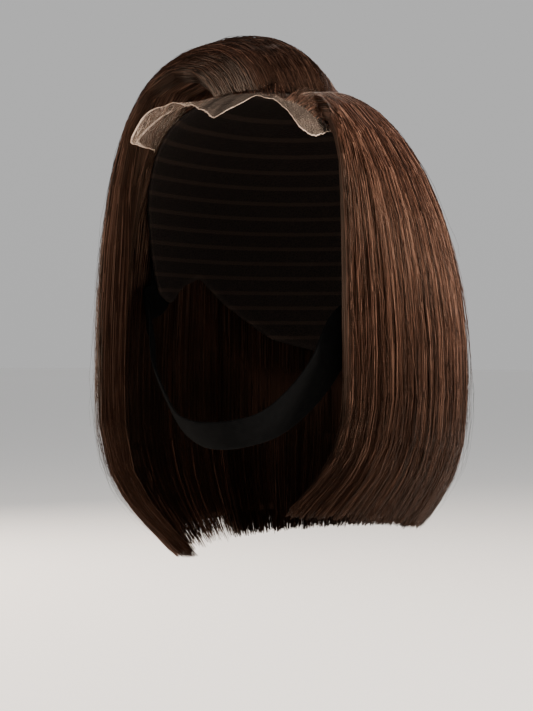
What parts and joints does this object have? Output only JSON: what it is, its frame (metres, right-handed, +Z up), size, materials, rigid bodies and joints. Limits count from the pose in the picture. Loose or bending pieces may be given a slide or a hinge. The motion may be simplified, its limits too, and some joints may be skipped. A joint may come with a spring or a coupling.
{
  "type": "bob wig",
  "caption": "Straight lace-front bob wig with a deep side part, a lifted swoop, curved-under ends and an elastic chin strap, shown in its worn shape.",
  "frame": {"origin": "top of the inside of the cap, where the crown of the head sits", "axes": "+Z up, -Y the way the face looks, +X the wearer's left"},
  "size_m": [0.2056, 0.189, 0.293],
  "materials": {
    "hair": "satin",
    "cap_net": "matte",
    "lace": "sheer matte",
    "elastic": "matte"
  },
  "bodies": {
    "root": {"wig_cap": "cap_net", "lace_front": "lace", "parting_lace": "lace", "hair_left": "hair", "hair_back": "hair", "hair_swoop": "hair", "chin_strap": "elastic"}
  },
  "joints": []
}
